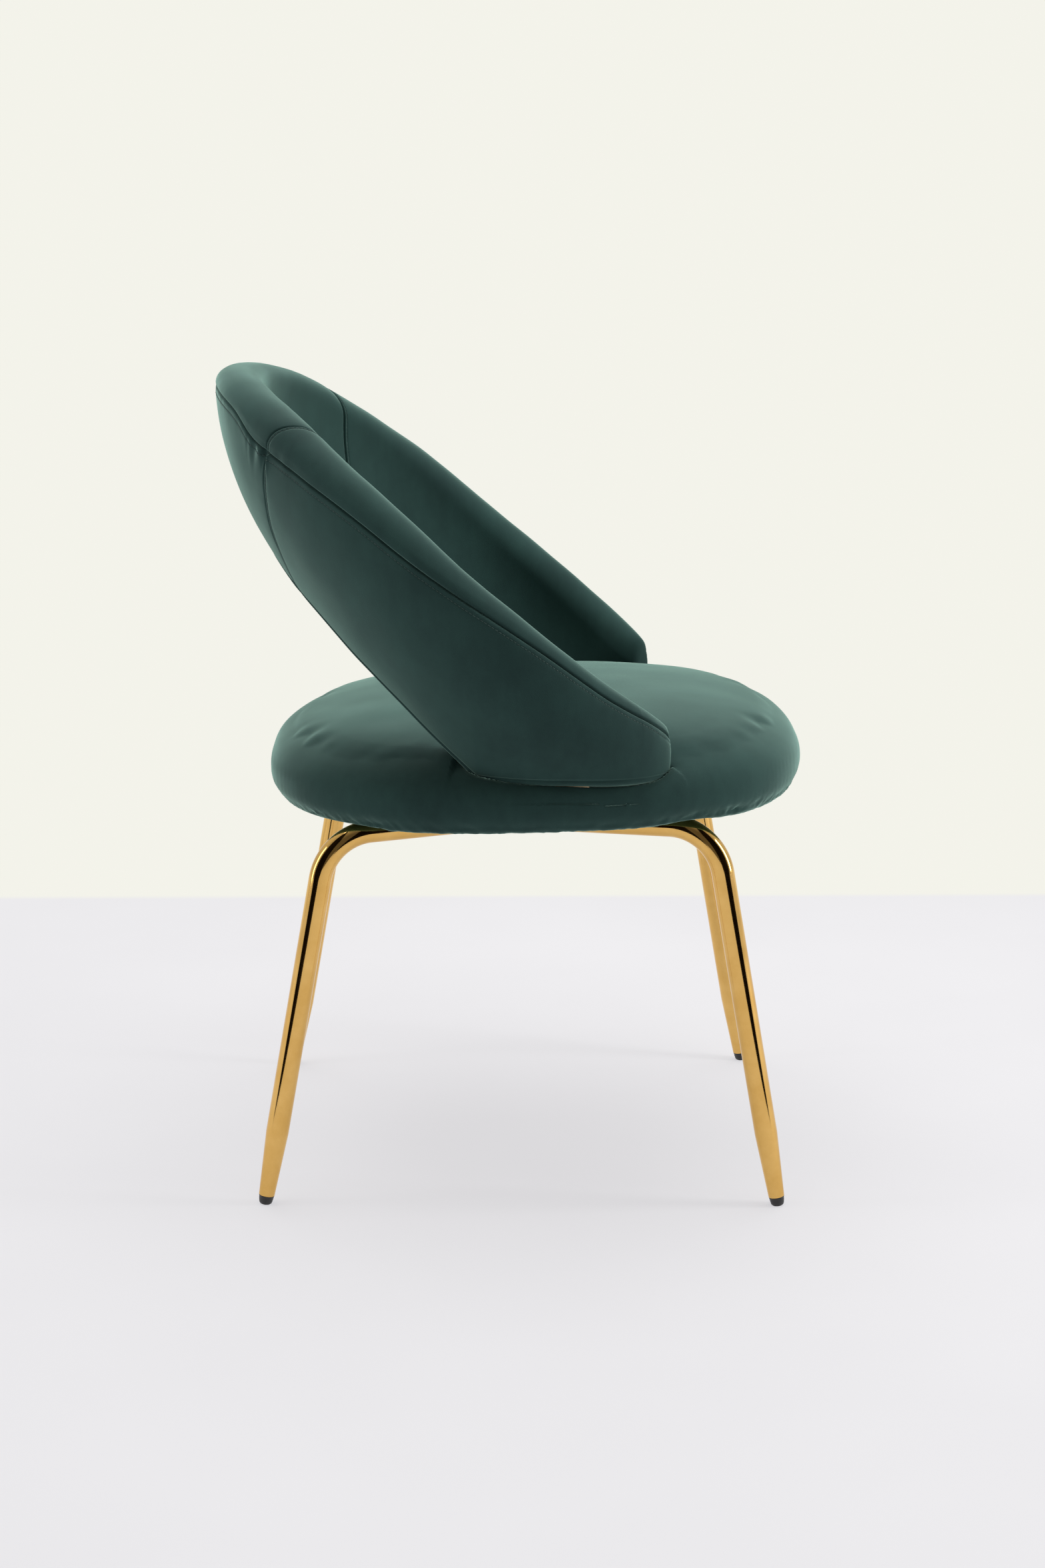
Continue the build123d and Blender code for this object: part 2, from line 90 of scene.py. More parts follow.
def fractal(points, scale, octaves=3, seed=0.0):
    """Smooth noise, about -1 to 1, at each point."""
    shift = Vector((seed, seed * 1.7, -seed))
    out = np.empty(len(points))
    for i, p in enumerate(points):
        out[i] = noise.fractal(Vector(p) * scale + shift, 0.9, 2.0, octaves)
    return out


def subdivide(obj, levels):
    mod = obj.modifiers.new("smooth", "SUBSURF")
    mod.levels = mod.render_levels = levels
    return mod


def finish_piece(obj, material, node_names=()):
    if material is not None:
        obj.data.materials.clear()
        obj.data.materials.append(material)
    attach(obj, "root")
    if node_names:
        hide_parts(*node_names)
    return obj


# ------------------------------------------------------------------ materials
class Nodes:
    """Small helper to build a node material."""

    def __init__(self, name):
        self.material = bpy.data.materials.new(name)
        self.material.use_nodes = True
        self.tree = self.material.node_tree
        self.shader = self.tree.nodes["Principled BSDF"]

    def add(self, kind, **settings):
        node = self.tree.nodes.new(kind)
        for key, value in settings.items():
            if key.startswith("in_"):
                node.inputs[key[3:].replace("_", " ")].default_value = value
            else:
                setattr(node, key, value)
        return node

    def link(self, a, b):
        self.tree.links.new(a, b)

    def place(self, scale=(1, 1, 1)):
        coord = self.add("ShaderNodeTexCoord")
        mapping = self.add("ShaderNodeMapping")
        mapping.inputs["Scale"].default_value = scale
        self.link(coord.outputs["Object"], mapping.inputs["Vector"])
        return mapping.outputs["Vector"]

    def noise(self, vector, scale, detail=3.0, rough=0.55):
        node = self.add("ShaderNodeTexNoise", in_Scale=scale, in_Detail=detail, in_Roughness=rough)
        self.link(vector, node.inputs["Vector"])
        return node.outputs["Fac"]

    def ramp(self, fac, stops):
        node = self.add("ShaderNodeValToRGB")
        elements = node.color_ramp.elements
        while len(elements) < len(stops):
            elements.new(0.5)
        for element, (place, colour) in zip(elements, stops):
            element.position = place
            element.color = (*colour, 1)
        self.link(fac, node.inputs["Fac"])
        return node.outputs["Color"]

    def bump(self, height, strength, distance, previous=None):
        node = self.add("ShaderNodeBump", in_Strength=strength, in_Distance=distance)
        self.link(height, node.inputs["Height"])
        if previous is not None:
            self.link(previous, node.inputs["Normal"])
        return node.outputs["Normal"]

    def mix(self, fac, a, b, mode="MIX"):
        node = self.add("ShaderNodeMix", data_type="RGBA", blend_type=mode)
        for socket, value in ((node.inputs[0], fac), (node.inputs[6], a), (node.inputs[7], b)):
            if isinstance(value, (int, float, tuple)):
                socket.default_value = value
            else:
                self.link(value, socket)
        return node.outputs[2]


def velvet(name, dark, light, sheen=(0.50, 0.80, 0.70, 1)):
    n = Nodes(name)
    at = n.place()
    patches = n.noise(at, 9.0, 4.0, 0.6)
    streaks = n.noise(n.place((1, 1, 0.35)), 60.0, 3.0, 0.6)
    pile = n.noise(at, 1500.0, 2.0, 0.7)
    tone = n.ramp(patches, [(0.30, dark), (0.72, light)])
    tone = n.mix(0.22, tone, n.ramp(streaks, [(0.35, dark), (0.7, light)]))
    tone = n.mix(0.18, tone, n.ramp(pile, [(0.3, (0.2, 0.2, 0.2)), (0.7, (1, 1, 1))]), "MULTIPLY")
    n.link(tone, n.shader.inputs["Base Color"])
    low = n.bump(streaks, 0.12, 0.0006)
    n.link(n.bump(pile, 0.35, 0.0003, low), n.shader.inputs["Normal"])
    n.shader.inputs["Roughness"].default_value = 0.85
    n.shader.inputs["Specular IOR Level"].default_value = 0.25
    n.shader.inputs["Sheen Weight"].default_value = 1.0
    n.shader.inputs["Sheen Roughness"].default_value = 0.33
    n.shader.inputs["Sheen Tint"].default_value = sheen
    return n.material


def gold():
    n = Nodes("gold_plate")
    at = n.place()
    haze = n.noise(at, 35.0, 4.0, 0.6)
    grain = n.noise(n.place((1, 1, 0.08)), 900.0, 2.0, 0.5)
    n.link(n.ramp(haze, [(0.35, (0.72, 0.43, 0.12)), (0.7, (0.80, 0.50, 0.16))]),
           n.shader.inputs["Base Color"])
    rough = n.add("ShaderNodeMapRange", in_To_Min=0.045, in_To_Max=0.12)
    n.link(haze, rough.inputs["Value"])
    n.link(rough.outputs["Result"], n.shader.inputs["Roughness"])
    n.link(n.bump(grain, 0.03, 0.0001), n.shader.inputs["Normal"])
    n.shader.inputs["Metallic"].default_value = 1.0
    return n.material


def plastic():
    n = Nodes("black_plastic")
    at = n.place()
    grain = n.noise(at, 2200.0, 2.0, 0.6)
    wear = n.noise(at, 140.0, 4.0, 0.6)
    n.link(n.ramp(wear, [(0.3, (0.010, 0.010, 0.010)), (0.8, (0.028, 0.027, 0.026))]),
           n.shader.inputs["Base Color"])
    n.link(n.bump(grain, 0.25, 0.0002), n.shader.inputs["Normal"])
    n.shader.inputs["Roughness"].default_value = 0.42
    return n.material


def dust_cloth():
    n = Nodes("dust_cloth")
    at = n.place()
    fibres = n.noise(n.place((1, 0.25, 1)), 1400.0, 4.0, 0.7)
    cells = n.add("ShaderNodeTexVoronoi", in_Scale=420.0)
    n.link(at, cells.inputs["Vector"])
    n.link(n.ramp(fibres, [(0.3, (0.012, 0.012, 0.013)), (0.75, (0.05, 0.05, 0.052))]),
           n.shader.inputs["Base Color"])
    dots = n.bump(cells.outputs["Distance"], 0.3, 0.0004)
    n.link(n.bump(fibres, 0.3, 0.0003, dots), n.shader.inputs["Normal"])
    n.shader.inputs["Roughness"].default_value = 0.9
    return n.material


def steel():
    n = Nodes("zinc_steel")
    at = n.place()
    spangle = n.add("ShaderNodeTexVoronoi", in_Scale=260.0)
    n.link(at, spangle.inputs["Vector"])
    fog = n.noise(at, 420.0, 4.0, 0.6)
    n.link(n.ramp(spangle.outputs["Distance"], [(0.1, (0.50, 0.50, 0.52)), (0.8, (0.66, 0.66, 0.67))]),
           n.shader.inputs["Base Color"])
    rough = n.add("ShaderNodeMapRange", in_To_Min=0.25, in_To_Max=0.45)
    n.link(fog, rough.inputs["Value"])
    n.link(rough.outputs["Result"], n.shader.inputs["Roughness"])
    n.link(n.bump(fog, 0.1, 0.0001), n.shader.inputs["Normal"])
    n.shader.inputs["Metallic"].default_value = 1.0
    return n.material


def plywood():
    n = Nodes("plywood")
    grain = n.noise(n.place((1, 0.06, 1)), 160.0, 5.0, 0.6)
    plies = n.add("ShaderNodeTexWave", in_Scale=95.0, in_Distortion=0.4, bands_direction="Z")
    n.link(n.place(), plies.inputs["Vector"])
    face = n.ramp(grain, [(0.3, (0.42, 0.28, 0.15)), (0.7, (0.66, 0.50, 0.31))])
    n.link(n.mix(0.15, face, plies.outputs["Color"], "MULTIPLY"), n.shader.inputs["Base Color"])
    n.link(n.bump(grain, 0.25, 0.0004), n.shader.inputs["Normal"])
    n.shader.inputs["Roughness"].default_value = 0.7
    return n.material


def foam():
    n = Nodes("foam")
    at = n.place()
    cells = n.add("ShaderNodeTexVoronoi", in_Scale=900.0)
    n.link(at, cells.inputs["Vector"])
    n.link(n.ramp(cells.outputs["Distance"], [(0.0, (0.70, 0.66, 0.48)), (0.6, (0.86, 0.83, 0.68))]),
           n.shader.inputs["Base Color"])
    n.link(n.bump(cells.outputs["Distance"], 0.4, 0.0005), n.shader.inputs["Normal"])
    n.shader.inputs["Roughness"].default_value = 0.95
    return n.material


def thread(colour):
    n = Nodes("thread")
    at = n.place()
    twist = n.noise(at, 2500.0, 2.0, 0.6)
    n.link(n.ramp(twist, [(0.3, tuple(c * 0.6 for c in colour)), (0.7, colour)]),
           n.shader.inputs["Base Color"])
    n.link(n.bump(twist, 0.4, 0.0002), n.shader.inputs["Normal"])
    n.shader.inputs["Roughness"].default_value = 0.55
    return n.material


GREEN_DARK = (0.013, 0.040, 0.037)
GREEN_LIGHT = (0.025, 0.070, 0.062)
VELVET = velvet("velvet", GREEN_DARK, GREEN_LIGHT)
GOLD, PLASTIC, DUST, STEEL = gold(), plastic(), dust_cloth(), steel()
PLY, FOAM, THREAD = plywood(), foam(), thread((0.030, 0.075, 0.066))


# ------------------------------------------------------------- cloth inflation
def inflate(obj, pinned, pressure, cap, stiffness=12.0, frames=20):
    """Blow a closed mesh up a little as cloth, with some points held. Returns the new points."""
    start = coords(obj)
    group = obj.vertex_groups.new(name="pin")
    group.add([int(i) for i in np.nonzero(pinned)[0]], 1.0, "REPLACE")
    mod = obj.modifiers.new("cloth", "CLOTH")
    cloth = mod.settings
    cloth.quality = 6
    cloth.mass = 0.3
    cloth.tension_stiffness = cloth.compression_stiffness = stiffness
    cloth.shear_stiffness = stiffness * 0.5
    cloth.bending_stiffness = 0.6
    cloth.use_pressure = True
    cloth.uniform_pressure_force = pressure
    cloth.effector_weights.gravity = 0
    cloth.vertex_group_mass = "pin"
    mod.collision_settings.use_collision = False
    mod.point_cache.frame_start, mod.point_cache.frame_end = 1, frames
    scene = bpy.context.scene
    for f in range(1, frames + 1):
        scene.frame_set(f)
    graph = bpy.context.evaluated_depsgraph_get()
    solved = obj.evaluated_get(graph).to_mesh()
    co = np.empty(len(solved.vertices) * 3)
    solved.vertices.foreach_get("co", co)
    co = co.reshape(-1, 3)
    obj.modifiers.remove(mod)
    obj.vertex_groups.clear()
    scene.frame_set(1)
    move = co - start
    length = np.linalg.norm(move, axis=1)
    limit = np.minimum(1.0, cap / np.maximum(length, 1e-9))
    return start + move * limit[:, None]


# ------------------------------------------------------------------ back band
SWEEP = math.radians(132.0)
SINK_Z = 0.425              # underside of the band, just under the seat's surface
KEEL = 0.008                # height of its rounded lower edge
BAND_PUFF = 0.004           # most that the padding swells


def outline(t):
    """Plan of the outer edge at sweep fraction t, in the feet's frame."""
    s, c = np.sin(t * SWEEP), np.cos(t * SWEEP)
    reach = np.where(c > 0, 0.2675 * (1 - 0.10 * s * s), 0.265)
    return np.stack([0.292 * s, 0.030 + reach * c], -1)


class Slices:
    """Cross-sections of the band at an array of sweep fractions."""

    def __init__(self, t):
        self.t = t = np.asarray(t, float)
        side = abs(t)
        plan = outline(t)
        run = outline(t + 1e-3) - outline(t - 1e-3)
        run /= np.linalg.norm(run, axis=-1, keepdims=True)
        self.forward = run
        self.out = np.stack([-run[..., 1], run[..., 0]], -1)
        y = plan[..., 1]
        z = 0.564 + 0.768 * y - 2.0 * np.maximum(0.0, y - 0.21) ** 2
        self.plan, self.z = plan, z
        self.lean = lerp(0.333, 0.42, ease(side, 0.1, 0.6)) - 0.32 * ease(side, 0.8, 1)
        nose = np.maximum(0.0, (side - 0.93) / 0.07)
        round_off = np.sqrt(np.maximum(0.0, 1 - 0.75 * nose * nose))
        rise = lerp(0.017, 0.029, ease(side, 0.15, 0.6))
        self.roll = rise * lerp(0.8, 1, round_off)
        self.thick = lerp(0.048, 0.038, ease(side, 0.5, 0.95)) * round_off
        self.low = 0.024 * round_off
        self.shift = -(1 - round_off) * 0.016
        self.height = z - SINK_Z
        for _ in range(40):
            edge_y = y - self.out[..., 1] * self.lean * self.height
            self.height = z - np.maximum(SINK_Z, 0.385 + 0.95 * edge_y)

    def face_u(self, s):
        return -self.lean * self.height * np.maximum(s, 0.0) ** 1.9

    def local(self, v):
        """Section coordinates (outward, up) at v: 0-1 roll, 1-2 inside, 2-3 keel, 3-4 outside."""
        part = np.floor(v).astype(int) % 4
        f = v - np.floor(v)
        stop = 1 - KEEL / self.height
        a = math.pi * f
        half = self.thick / 2
        s_in, s_out = stop * f, stop * (1 - f)
        outer = self.face_u(stop)
        inner = outer - lerp(self.thick, self.low, stop)
        tip = (self.face_u(1.0) * 2 - self.low + inner + outer) / 4
        keel = lerp(tip, (outer + inner) / 2, abs(np.cos(a))) - (outer - inner) / 2 * np.cos(a)
        picks = [part == 0, part == 1, part == 2]
        u = np.select(picks, [
            -half + half * np.cos(a), self.face_u(s_in) - lerp(self.thick, self.low, s_in), keel,
        ], self.face_u(s_out))
        w = np.select(picks, [
            self.roll * np.sin(a), -self.height * s_in, -self.height + KEEL - KEEL * np.sin(a),
        ], -self.height * s_out)
        return u, w

    def points(self, v):
        u, w = self.local(v)
        xy = self.plan + self.out * (u + self.shift)[..., None]
        return np.stack([xy[..., 0], xy[..., 1] + FEET_Y, self.z + w], -1)


def seam_offset(t):
    """How far round the section the long seam lies, in metres: down the outside at the rear
    corners, up onto the roll along the arms."""
    side = abs(t)
    dip = -0.0155 * np.exp(-((side - 0.29) / np.where(side < 0.29, 0.075, 0.115)) ** 2)
    return dip + 0.0135 * ease(side, 0.5, 0.80) + 0.004 * ease(side, 0.86, 0.97)


def corner_shift(turns):
    """How far the upright seams lean to the rear, by the four quarters of the section."""
    marks = [0, 0.5, 1, 2, 3, 3.4, 4]
    lean = [-0.030, 0.0, 0.018, 0.030, -0.11, -0.085, -0.030]
    return np.interp(turns, marks, lean)


CORNER = 0.312              # the upright seams, as a fraction of the sweep
CORNER_ROWS = 0.0135        # the seam's own close rows reach this far each side of it
FINE = (0.0, 0.0005, 0.0011, 0.0019, 0.0030, 0.0044, 0.0057, 0.0064, 0.0070, 0.0076, 0.0083,
        0.0098, 0.0120)     # distances of the close columns from the long seam
INNER_MIDDLE, OUTER_MIDDLE = 30, 20     # columns between the close ones, inside and outside
STITCH_IN = 0.0070          # long topstitch, below the long seam
CORNER_STITCH = 0.0042      # topstitch beside each upright seam


def run_of(lengths, count):
    """Distances from the seam to the hem for each row, fine near both ends."""
    scale = np.minimum(1.0, lengths / 0.050)[:, None]
    fine = np.array(FINE)[None, :] * scale
    hem = lengths[:, None] - np.array([0.0044, 0.0024, 0.0011, 0.0])[None, :] * scale
    f = np.linspace(0, 1, count + 2)[1:-1][None, :]
    middle = fine[:, -1:] + (hem[:, :1] - fine[:, -1:]) * f
    return np.hstack([fine, middle, hem])


def band_grid(rows):
    """Grid of points on the band: one row per sweep fraction, columns round the section from
    the long seam over the roll, down the inside, round the hem and up the outside."""
    dense = np.linspace(0, 4, 641)
    slices = Slices(np.repeat(rows[:, None], len(dense), 1))
    pts = slices.points(np.repeat(dense[None, :], len(rows), 0))
    arc = np.zeros((len(rows), len(dense)))
    arc[:, 1:] = np.cumsum(np.linalg.norm(np.diff(pts, axis=1), axis=2), 1)
    hem_at = arc[:, int(np.argmin(abs(dense - 3.0)))]
    seam_at = seam_offset(rows) * np.minimum(1.0, hem_at / 0.12)
    inner = run_of(hem_at - seam_at, INNER_MIDDLE)
    outer = run_of(arc[:, -1] + seam_at - hem_at, OUTER_MIDDLE)[:, ::-1]
    place = np.hstack([inner, inner[:, -1:] + (outer[:, :1] - outer[:, 1:-1])])
    place = (place + seam_at[:, None]) % arc[:, -1:]
    v = np.stack([np.interp(p, a, dense) for p, a in zip(place, arc)])
    v = np.where(v >= 4, 0.0, v)
    away = np.abs(rows)[:, None] - CORNER
    bend = np.exp(-(away / 0.10) ** 2) * np.clip(1 - abs(rows)[:, None], 0, 1) / (1 - CORNER)
    t = rows[:, None] + np.sign(rows)[:, None] * corner_shift(v) * bend
    from_seam = np.hstack([inner, outer[:, 1:-1]])
    to_hem = np.hstack([inner[:, -1:] - inner, (outer[:, :1] - outer[:, 1:-1])])
    outside = np.hstack([np.zeros(inner.shape[1], bool), np.ones(outer.shape[1] - 2, bool)])
    return Slices(t).points(v), from_seam, to_hem, outside


def grid_normals(points):
    along = np.gradient(points, axis=0)
    across = np.roll(points, -1, 1) - np.roll(points, 1, 1)
    normal = np.cross(across, along)
    normal /= np.maximum(np.linalg.norm(normal, axis=2, keepdims=True), 1e-9)
    centre = points.mean(1, keepdims=True)
    if ((points - centre) * normal).sum() < 0:
        normal = -normal
    return normal


def grid_object(name, points):
    """Closed object from a grid that is periodic in its columns, with a fan at each end."""
    rows, cols = points.shape[:2]
    faces = []
    for i in range(rows - 1):
        for j in range(cols):
            k = (j + 1) % cols
            faces.append((i * cols + j, (i + 1) * cols + j, (i + 1) * cols + k, i * cols + k))
    caps = []
    for end, i in ((0, 0), (1, rows - 1)):
        caps.append(points[i].mean(0))
        for j in range(cols):
            a, b = i * cols + j, i * cols + (j + 1) % cols
            centre = rows * cols + end
            faces.append((a, b, centre) if end == 0 else (b, a, centre))
    return make_object(name, np.vstack([points.reshape(-1, 3), caps]), faces)


def row_marks():
    """Sweep fractions of the rows: even, and close together at each upright seam."""
    near = np.array([-0.0110, -0.0074, -0.0052, -0.0035, -0.0021, -0.0010, 0, 0.0010, 0.0021, 0.0033,
                     0.0045, 0.0056, 0.0067, 0.0078, 0.0092, 0.0115])
    values = set(np.linspace(0, 0.93, 116)) | set(1 - 0.07 * np.cos(np.linspace(0, math.pi / 2, 15)))
    values = {x for x in values if abs(x - CORNER) > CORNER_ROWS} | {CORNER + d for d in near}
    values = sorted(values)
    return np.array([-x for x in values[:0:-1]] + values)


def band_detail(rows, points, out, from_seam, to_hem, outside):
    """Move along the normal at each grid point for seams, puckers and soft unevenness."""
    seam_col = points[:, 0]
    along = np.zeros(len(rows))
    along[1:] = np.cumsum(np.linalg.norm(np.diff(seam_col, axis=0), axis=1))
    pace = np.linalg.norm(np.gradient(points, axis=0), axis=2) / np.gradient(rows)[:, None]
    forward = (abs(rows) - CORNER)[:, None] * pace            # metres forward of the upright seam
    beside = abs(forward)
    wide = np.broadcast_to(outside[None, :], from_seam.shape)
    height = -0.0026 * np.exp(-(from_seam / 0.0012) ** 2)
    height -= np.where(wide, 0.0009, 0.0005) * np.exp(-from_seam / 0.0045)
    height -= np.where(wide, 0.0004, 0) * np.exp(-((from_seam - STITCH_IN) / 0.0008) ** 2)
    height -= 0.0018 * np.exp(-(beside / 0.0010) ** 2) + 0.0007 * np.exp(-(beside / 0.0060) ** 2)
    height -= 0.0006 * np.exp(-((forward - CORNER_STITCH) / 0.0009) ** 2)
    height += 0.0005 * np.exp(-((forward - CORNER_STITCH / 2) / 0.0012) ** 2)
    # gathers that run away from the long seam, deepest behind the rear corner joins
    ring = np.stack([np.broadcast_to(along[:, None] * 150, wide.shape), from_seam * 14, 0.3 * wide], 2)
    gather = fractal(ring.reshape(-1, 3), 1.0, 3, 3.0).reshape(from_seam.shape)
    behind = np.exp(-(np.minimum(0, forward) / 0.030) ** 2)
    behind = behind * np.exp(-(np.maximum(0, forward) / 0.012) ** 2)
    ahead = np.exp(-((forward - 0.035) / 0.03) ** 2)
    depth = np.where(wide, 0.0006 + 0.0060 * behind + 0.0008 * ahead, 0.0003 + 0.0016 * ahead)
    length = np.where(wide, 0.011 + 0.010 * behind, 0.012)
    near_seam = np.exp(-(from_seam / length) ** 2) * (1 - np.exp(-(from_seam / 0.0016) ** 2))
    height += depth * gather * near_seam
    side = np.stack([from_seam * 110, forward * 20, wide * 3.0 + np.sign(rows)[:, None]], 2)
    tug = fractal(side.reshape(-1, 3), 1.0, 3, 9.0).reshape(from_seam.shape)
    height += 0.0006 * tug * np.exp(-beside / 0.010)
    height -= 0.0012 * np.exp(-(to_hem / 0.0012) ** 2)
    slow = fractal(points.reshape(-1, 3), 12.0, 2, 5.0).reshape(from_seam.shape)
    height += 0.0011 * slow
    return height[:, :, None] * out, forward


def stitch_row(points, normal, pitch=0.0040, length=0.0030, width=0.00042, rise=0.00022):
    """Thread stitches along a line of surface points. Returns vertices and faces."""
    steps = np.linalg.norm(np.diff(points, axis=0), axis=1)
    run = np.concatenate([[0], np.cumsum(steps)])
    verts, faces = [], []
    for start in np.arange(pitch * 0.5, run[-1] - pitch, pitch):
        rings = []
        for f, size in ((0, 0.45), (0.18, 1), (0.82, 1), (1, 0.45)):
            at = start + length * f
            p = np.array([np.interp(at, run, points[:, k]) for k in range(3)])
            n = np.array([np.interp(at, run, normal[:, k]) for k in range(3)])
            rings.append((p, n / np.linalg.norm(n), size))
        heading = rings[-1][0] - rings[0][0]
        heading /= max(np.linalg.norm(heading), 1e-9)
        base = len(verts)
        for p, n, size in rings:
            across = np.cross(heading, n)
            for k in range(6):
                a = 2 * math.pi * k / 6
                lift = rise * (0.2 + size * 0.8) + width * 0.8 * math.sin(a) * size
                verts.append(p + n * lift + across * (width * math.cos(a) * size))
        for i in range(3):
            for k in range(6):
                m = (k + 1) % 6
                a = base + i * 6
                faces.append((a + k, a + m, a + 6 + m, a + 6 + k))
        faces.append(tuple(base + k for k in range(5, -1, -1)))
        faces.append(tuple(base + 18 + k for k in range(6)))
    return verts, faces


def cross_at(values, target):
    """Place of the first step where values pass target, as an index with a fraction."""
    for i in range(len(values) - 1):
        a, b = values[i], values[i + 1]
        if (a - target) * (b - target) <= 0 and a != b:
            return i + (target - a) / (b - a)
    return None


def sample_line(grid, places):
    """Points of a grid at fractional (row, column) places."""
    rows, cols = grid.shape[:2]
    found = []
    for r, c in places:
        i, j = min(int(r), rows - 2), int(c) % cols
        fi, fj, k = r - min(int(r), rows - 2), c - int(c), (int(c) + 1) % cols
        top = lerp(grid[i, j], grid[i, k], fj)
        found.append(lerp(top, lerp(grid[i + 1, j], grid[i + 1, k], fj), fi))
    return np.array(found)


def build_band():
    """Padded band. A coarser grid of it is swelled as cloth, held along its seams, and the
    swell is carried over to the fine grid, which then gets its seams and creases."""
    rows = row_marks()
    fine, from_seam, to_hem, outside = band_grid(rows)
    coarse = rows[np.abs(np.abs(rows) - CORNER) > CORNER_ROWS]
    coarse = np.sort(np.append(coarse, [-CORNER, CORNER]))
    rest, seam_c, hem_c, _ = band_grid(coarse)
    # a few of the close columns at the seam and hem, and all of the ones between
    keep = np.concatenate([[0, 4, 8, 10, 12], np.arange(13, 43), [45], np.arange(47, 66), [67, 71, 74]])
    keep = keep[keep < rest.shape[1]]
    proxy_pts = rest[:, keep]
    normal = grid_normals(proxy_pts)
    start = proxy_pts - normal * 0.0012
    proxy = grid_object("band_proxy", start)
    held = (seam_c[:, keep] < 1e-6) | (hem_c[:, keep] < 0.004)
    held |= (abs(abs(coarse) - CORNER) < 1e-6)[:, None] | (proxy_pts[:, :, 2] < 0.437)
    held |= (abs(coarse) > 0.985)[:, None]
    pinned = np.append(held.ravel(), [True, True])
    solved = inflate(proxy, pinned, 2.6, 2 * BAND_PUFF)[: held.size].reshape(proxy_pts.shape)
    puff = np.clip(((solved - proxy_pts) * normal).sum(2), 0, BAND_PUFF)
    bpy.data.objects.remove(proxy)
    along = np.stack([np.interp(rows, coarse, puff[:, j]) for j in range(len(keep))], 1)
    spot = np.append(keep, fine.shape[1])
    wide = np.hstack([along, along[:, :1]])
    swell = np.stack([np.interp(np.arange(fine.shape[1]), spot, row) for row in wide])
    out = grid_normals(fine)
    detail, forward = band_detail(rows, fine, out, from_seam, to_hem, outside)
    shape = fine + out * swell[:, :, None] + detail
    band = grid_object("back_band", shape)
    subdivide(band, 1)
    words = [a + "_" + b for a in ("inner", "outer") for b in ("centre", "left", "right")]
    finish_piece(band, VELVET, ["back_foam"] + ["back_cover_" + word for word in words])
    return shape, from_seam, outside, forward


def build_band_stitches(shape, from_seam, outside, forward):
    """Thread of the long topstitch and of the ones beside the four upright seams."""
    normal = grid_normals(shape)
    first = int(np.argmax(outside))
    from_middle = np.arange(len(forward)) - len(forward) // 2
    places = []
    for r in range(2, shape.shape[0] - 2):
        c = cross_at(from_seam[r, first:], min(STITCH_IN, from_seam[r, first:].max() * 0.9))
        if c is not None:
            places.append((float(r), first + c))
    verts, faces = stitch_row(sample_line(shape, places), sample_line(normal, places))
    for sign in (-1, 1):
        half = np.nonzero(sign * from_middle > 0)[0]
        line = []
        for c in range(1, shape.shape[1]):
            r = cross_at(forward[half, c], CORNER_STITCH)
            if r is not None:
                line.append((half[0] + r, float(c)))
        more, extra = stitch_row(sample_line(shape, line), sample_line(normal, line))
        faces += [tuple(i + len(verts) for i in f) for f in extra]
        verts += more
    thread_piece = make_object("band_stitches", verts, faces)
    finish_piece(thread_piece, THREAD)


build_band_stitches(*build_band())


# ----------------------------------------------------------------------- seat
SEAT_PLACE = (Matrix.Translation((0, FEET_Y + SEAT_Y, SEAT_Z))
              @ Matrix.Rotation(-SEAT_TILT, 4, "X"))
SEAT_W, SEAT_D = 0.251, 0.267
CROWN, DROP = 0.064, 0.021
POWER = 2.6
EDGE = 0.020                # radius of the cushion's lower edge
SEAT_VOXEL = 0.0046
SEAT_PUFF = 0.002           # most that the swell moves the surface


def oval(half_w, half_d, angle):
    c, s = math.cos(angle), math.sin(angle)
    x = half_w * abs(c) ** (2 / POWER) * math.copysign(1, c)
    y = half_d * abs(s) ** (2 / POWER) * math.copysign(1, s)
    return x, y


def seat_rings():
    rings = [(0.20, -DROP), (0.45, -DROP), (0.70, -DROP), (0.84, -DROP)]
    for a in (90, 72, 54, 36, 18, 0):
        pull = EDGE * (1 - math.cos(math.radians(a)))
        rings.append((1 - pull / SEAT_W, -DROP * math.sin(math.radians(a))))
    for q in (0.995, 0.982, 0.96, 0.93, 0.89, 0.84, 0.78, 0.70, 0.61, 0.51, 0.40, 0.28, 0.15):
        rings.append((q, CROWN * (1 - q ** POWER) ** (1 / POWER)))
    return rings


def seat_base(name, inset):
    spokes = 96
    verts, faces = [(0, 0, -DROP)], []
    rings = seat_rings()
    for q, z in rings:
        for i in range(spokes):
            x, y = oval(SEAT_W - inset, SEAT_D - inset, 2 * math.pi * i / spokes)
            verts.append((x * q, y * q, z * (1 - inset / CROWN)))
    verts.append((0, 0, CROWN - inset))
    last = len(verts) - 1
    for i in range(spokes):
        k = (i + 1) % spokes
        faces.append((0, 1 + k, 1 + i))
        for r in range(len(rings) - 1):
            a, b = 1 + r * spokes, 1 + (r + 1) * spokes
            faces.append((a + i, a + k, b + k, b + i))
        a = 1 + (len(rings) - 1) * spokes
        faces.append((a + i, a + k, last))
    return make_object(name, verts, faces)


